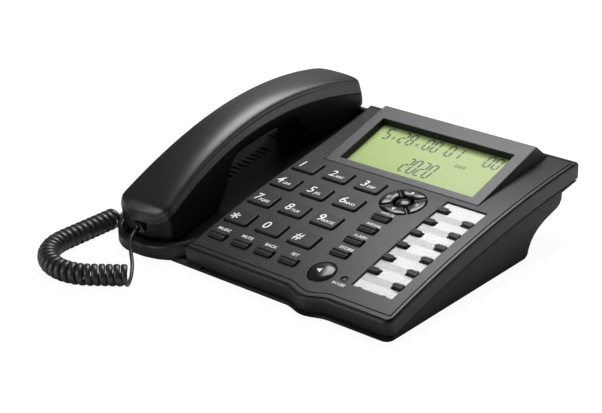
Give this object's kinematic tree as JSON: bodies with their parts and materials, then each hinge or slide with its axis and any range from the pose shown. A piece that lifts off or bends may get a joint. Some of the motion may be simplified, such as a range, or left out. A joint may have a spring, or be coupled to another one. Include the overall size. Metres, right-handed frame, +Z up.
{
  "type": "corded desk telephone",
  "caption": "Wedge-shaped push-button desk telephone with a tilted display, handset in a side cradle, memory keys with a label card and a coiled handset cord.",
  "frame": {"origin": "middle of the footprint, on the table", "axes": "+X to the user's right, +Y to the back, +Z up"},
  "size_m": [0.24, 0.2671, 0.0751],
  "materials": {
    "casing": "fine-textured moulded ABS",
    "lower_casing": "fine-textured moulded ABS",
    "bezel": "satin moulded ABS",
    "display": "polarised display glass",
    "card": "printed card",
    "clear_cover": "clear sheet",
    "lamp": "tinted lens",
    "membrane": "silicone",
    "board": "solder resist",
    "switch": "moulded",
    "inner_black": "moulded",
    "speaker": "painted",
    "feet": "soft",
    "screws": "plated",
    "handset_gloss": "gloss moulded ABS",
    "handset_satin": "satin moulded ABS",
    "clear_plug": "clear moulded",
    "cord": "smooth sheath",
    "keys": "satin moulded",
    "nav_gloss": "gloss moulded"
  },
  "bodies": {
    "base": {"top_cover": "casing", "bottom_cover": "lower_casing", "display_bezel": "bezel", "lcd_panel": "display", "memory_card": "card", "memory_card_cover": "clear_cover", "indicator_led": "lamp", "keypad_membrane": "membrane", "main_board": "board", "hook_switch": "switch", "loudspeaker": "speaker", "base_sockets": "inner_black", "rubber_feet": "feet", "case_screws": "screws", "cord_plug_base": "clear_plug", "handset_cord": "cord"},
    "hook": {"hook_plunger": "inner_black"},
    "handset": {"handset_top_shell": "handset_gloss", "handset_bottom_shell": "handset_satin", "handset_capsules": "speaker", "handset_jack": "inner_black", "cord_plug_handset": "clear_plug"},
    "key_1_cap": {"key_1": "keys"},
    "key_2_cap": {"key_2": "keys"},
    "key_3_cap": {"key_3": "keys"},
    "key_4_cap": {"key_4": "keys"},
    "key_5_cap": {"key_5": "keys"},
    "key_6_cap": {"key_6": "keys"},
    "key_7_cap": {"key_7": "keys"},
    "key_8_cap": {"key_8": "keys"},
    "key_9_cap": {"key_9": "keys"},
    "key_star_cap": {"key_star": "keys"},
    "key_0_cap": {"key_0": "keys"},
    "key_hash_cap": {"key_hash": "keys"},
    "function_key_1_cap": {"function_key_1": "keys"},
    "function_key_2_cap": {"function_key_2": "keys"},
    "function_key_3_cap": {"function_key_3": "keys"},
    "function_key_4_cap": {"function_key_4": "keys"},
    "lower_key_1_cap": {"lower_key_1": "keys"},
    "lower_key_2_cap": {"lower_key_2": "keys"},
    "lower_key_3_cap": {"lower_key_3": "keys"},
    "lower_key_4_cap": {"lower_key_4": "keys"},
    "nav_up_cap": {"nav_up": "nav_gloss"},
    "nav_down_cap": {"nav_down": "nav_gloss"},
    "nav_left_cap": {"nav_left": "nav_gloss"},
    "nav_right_cap": {"nav_right": "nav_gloss"},
    "nav_centre_cap": {"nav_centre": "nav_gloss"},
    "speaker_key_cap": {"speaker_key": "nav_gloss"},
    "memory_key_1_cap": {"memory_key_1": "keys"},
    "memory_key_2_cap": {"memory_key_2": "keys"},
    "memory_key_3_cap": {"memory_key_3": "keys"},
    "memory_key_4_cap": {"memory_key_4": "keys"},
    "memory_key_5_cap": {"memory_key_5": "keys"},
    "memory_key_6_cap": {"memory_key_6": "keys"},
    "memory_key_7_cap": {"memory_key_7": "keys"},
    "memory_key_8_cap": {"memory_key_8": "keys"},
    "memory_key_9_cap": {"memory_key_9": "keys"},
    "memory_key_10_cap": {"memory_key_10": "keys"},
    "memory_key_11_cap": {"memory_key_11": "keys"},
    "memory_key_12_cap": {"memory_key_12": "keys"}
  },
  "joints": [
    {"name": "handset_lift", "type": "slide", "parent": "base", "child": "handset", "axis": [0, 0, 1], "range_m": [0, 0.1], "deforming": ["handset_cord"]},
    {"name": "hook_rise", "type": "slide", "parent": "base", "child": "hook", "axis": [0, 0, 1], "range_m": [0, 0.004]},
    {"name": "key_1_press", "type": "slide", "parent": "base", "child": "key_1_cap", "axis": [0, 0.1606, -0.987], "range_m": [0, 0.0012], "stiffness_N_per_m": 400, "springref_m": -0.001},
    {"name": "key_2_press", "type": "slide", "parent": "base", "child": "key_2_cap", "axis": [0, 0.1606, -0.987], "range_m": [0, 0.0012], "stiffness_N_per_m": 400, "springref_m": -0.001},
    {"name": "key_3_press", "type": "slide", "parent": "base", "child": "key_3_cap", "axis": [0, 0.1606, -0.987], "range_m": [0, 0.0012], "stiffness_N_per_m": 400, "springref_m": -0.001},
    {"name": "key_4_press", "type": "slide", "parent": "base", "child": "key_4_cap", "axis": [0, 0.1853, -0.9827], "range_m": [0, 0.0012], "stiffness_N_per_m": 400, "springref_m": -0.001},
    {"name": "key_5_press", "type": "slide", "parent": "base", "child": "key_5_cap", "axis": [0, 0.1853, -0.9827], "range_m": [0, 0.0012], "stiffness_N_per_m": 400, "springref_m": -0.001},
    {"name": "key_6_press", "type": "slide", "parent": "base", "child": "key_6_cap", "axis": [0, 0.1853, -0.9827], "range_m": [0, 0.0012], "stiffness_N_per_m": 400, "springref_m": -0.001},
    {"name": "key_7_press", "type": "slide", "parent": "base", "child": "key_7_cap", "axis": [0, 0.2099, -0.9777], "range_m": [0, 0.0012], "stiffness_N_per_m": 400, "springref_m": -0.001},
    {"name": "key_8_press", "type": "slide", "parent": "base", "child": "key_8_cap", "axis": [0, 0.2099, -0.9777], "range_m": [0, 0.0012], "stiffness_N_per_m": 400, "springref_m": -0.001},
    {"name": "key_9_press", "type": "slide", "parent": "base", "child": "key_9_cap", "axis": [0, 0.2099, -0.9777], "range_m": [0, 0.0012], "stiffness_N_per_m": 400, "springref_m": -0.001},
    {"name": "key_star_press", "type": "slide", "parent": "base", "child": "key_star_cap", "axis": [0, 0.2343, -0.9722], "range_m": [0, 0.0012], "stiffness_N_per_m": 400, "springref_m": -0.001},
    {"name": "key_0_press", "type": "slide", "parent": "base", "child": "key_0_cap", "axis": [0, 0.2343, -0.9722], "range_m": [0, 0.0012], "stiffness_N_per_m": 400, "springref_m": -0.001},
    {"name": "key_hash_press", "type": "slide", "parent": "base", "child": "key_hash_cap", "axis": [0, 0.2343, -0.9722], "range_m": [0, 0.0012], "stiffness_N_per_m": 400, "springref_m": -0.001},
    {"name": "function_key_1_press", "type": "slide", "parent": "base", "child": "function_key_1_cap", "axis": [0, 0.19, -0.9818], "range_m": [0, 0.0012], "stiffness_N_per_m": 400, "springref_m": -0.001},
    {"name": "function_key_2_press", "type": "slide", "parent": "base", "child": "function_key_2_cap", "axis": [0, 0.2051, -0.9787], "range_m": [0, 0.0012], "stiffness_N_per_m": 400, "springref_m": -0.001},
    {"name": "function_key_3_press", "type": "slide", "parent": "base", "child": "function_key_3_cap", "axis": [0, 0.2201, -0.9755], "range_m": [0, 0.0012], "stiffness_N_per_m": 400, "springref_m": -0.001},
    {"name": "function_key_4_press", "type": "slide", "parent": "base", "child": "function_key_4_cap", "axis": [0, 0.2351, -0.972], "range_m": [0, 0.0012], "stiffness_N_per_m": 400, "springref_m": -0.001},
    {"name": "lower_key_1_press", "type": "slide", "parent": "base", "child": "lower_key_1_cap", "axis": [0, 0.2571, -0.9664], "range_m": [0, 0.0012], "stiffness_N_per_m": 400, "springref_m": -0.001},
    {"name": "lower_key_2_press", "type": "slide", "parent": "base", "child": "lower_key_2_cap", "axis": [0, 0.2571, -0.9664], "range_m": [0, 0.0012], "stiffness_N_per_m": 400, "springref_m": -0.001},
    {"name": "lower_key_3_press", "type": "slide", "parent": "base", "child": "lower_key_3_cap", "axis": [0, 0.2571, -0.9664], "range_m": [0, 0.0012], "stiffness_N_per_m": 400, "springref_m": -0.001},
    {"name": "lower_key_4_press", "type": "slide", "parent": "base", "child": "lower_key_4_cap", "axis": [0, 0.2571, -0.9664], "range_m": [0, 0.0012], "stiffness_N_per_m": 400, "springref_m": -0.001},
    {"name": "nav_up_press", "type": "slide", "parent": "base", "child": "nav_up_cap", "axis": [0, 0.1657, -0.9862], "range_m": [0, 0.0012], "stiffness_N_per_m": 400, "springref_m": -0.001},
    {"name": "nav_down_press", "type": "slide", "parent": "base", "child": "nav_down_cap", "axis": [0, 0.1657, -0.9862], "range_m": [0, 0.0012], "stiffness_N_per_m": 400, "springref_m": -0.001},
    {"name": "nav_left_press", "type": "slide", "parent": "base", "child": "nav_left_cap", "axis": [0, 0.1657, -0.9862], "range_m": [0, 0.0012], "stiffness_N_per_m": 400, "springref_m": -0.001},
    {"name": "nav_right_press", "type": "slide", "parent": "base", "child": "nav_right_cap", "axis": [0, 0.1657, -0.9862], "range_m": [0, 0.0012], "stiffness_N_per_m": 400, "springref_m": -0.001},
    {"name": "nav_centre_press", "type": "slide", "parent": "base", "child": "nav_centre_cap", "axis": [0, 0.1657, -0.9862], "range_m": [0, 0.0012], "stiffness_N_per_m": 400, "springref_m": -0.001},
    {"name": "speaker_key_press", "type": "slide", "parent": "base", "child": "speaker_key_cap", "axis": [0, 0.2559, -0.9667], "range_m": [0, 0.0012], "stiffness_N_per_m": 400, "springref_m": -0.001},
    {"name": "memory_key_1_press", "type": "slide", "parent": "base", "child": "memory_key_1_cap", "axis": [0, 0.1607, -0.987], "range_m": [0, 0.0012], "stiffness_N_per_m": 400, "springref_m": -0.001},
    {"name": "memory_key_2_press", "type": "slide", "parent": "base", "child": "memory_key_2_cap", "axis": [0, 0.1764, -0.9843], "range_m": [0, 0.0012], "stiffness_N_per_m": 400, "springref_m": -0.001},
    {"name": "memory_key_3_press", "type": "slide", "parent": "base", "child": "memory_key_3_cap", "axis": [0, 0.192, -0.9814], "range_m": [0, 0.0012], "stiffness_N_per_m": 400, "springref_m": -0.001},
    {"name": "memory_key_4_press", "type": "slide", "parent": "base", "child": "memory_key_4_cap", "axis": [0, 0.2076, -0.9782], "range_m": [0, 0.0012], "stiffness_N_per_m": 400, "springref_m": -0.001},
    {"name": "memory_key_5_press", "type": "slide", "parent": "base", "child": "memory_key_5_cap", "axis": [0, 0.2231, -0.9748], "range_m": [0, 0.0012], "stiffness_N_per_m": 400, "springref_m": -0.001},
    {"name": "memory_key_6_press", "type": "slide", "parent": "base", "child": "memory_key_6_cap", "axis": [0, 0.2386, -0.9711], "range_m": [0, 0.0012], "stiffness_N_per_m": 400, "springref_m": -0.001},
    {"name": "memory_key_7_press", "type": "slide", "parent": "base", "child": "memory_key_7_cap", "axis": [0, 0.1677, -0.9858], "range_m": [0, 0.0012], "stiffness_N_per_m": 400, "springref_m": -0.001},
    {"name": "memory_key_8_press", "type": "slide", "parent": "base", "child": "memory_key_8_cap", "axis": [0, 0.1834, -0.983], "range_m": [0, 0.0012], "stiffness_N_per_m": 400, "springref_m": -0.001},
    {"name": "memory_key_9_press", "type": "slide", "parent": "base", "child": "memory_key_9_cap", "axis": [0, 0.199, -0.98], "range_m": [0, 0.0012], "stiffness_N_per_m": 400, "springref_m": -0.001},
    {"name": "memory_key_10_press", "type": "slide", "parent": "base", "child": "memory_key_10_cap", "axis": [0, 0.2146, -0.9767], "range_m": [0, 0.0012], "stiffness_N_per_m": 400, "springref_m": -0.001},
    {"name": "memory_key_11_press", "type": "slide", "parent": "base", "child": "memory_key_11_cap", "axis": [0, 0.2301, -0.9732], "range_m": [0, 0.0012], "stiffness_N_per_m": 400, "springref_m": -0.001},
    {"name": "memory_key_12_press", "type": "slide", "parent": "base", "child": "memory_key_12_cap", "axis": [0, 0.2455, -0.9694], "range_m": [0, 0.0012], "stiffness_N_per_m": 400, "springref_m": -0.001}
  ],
  "couplings": [
    {"joint": "hook_rise", "follows": "handset_lift", "ratio": 0.04}
  ]
}
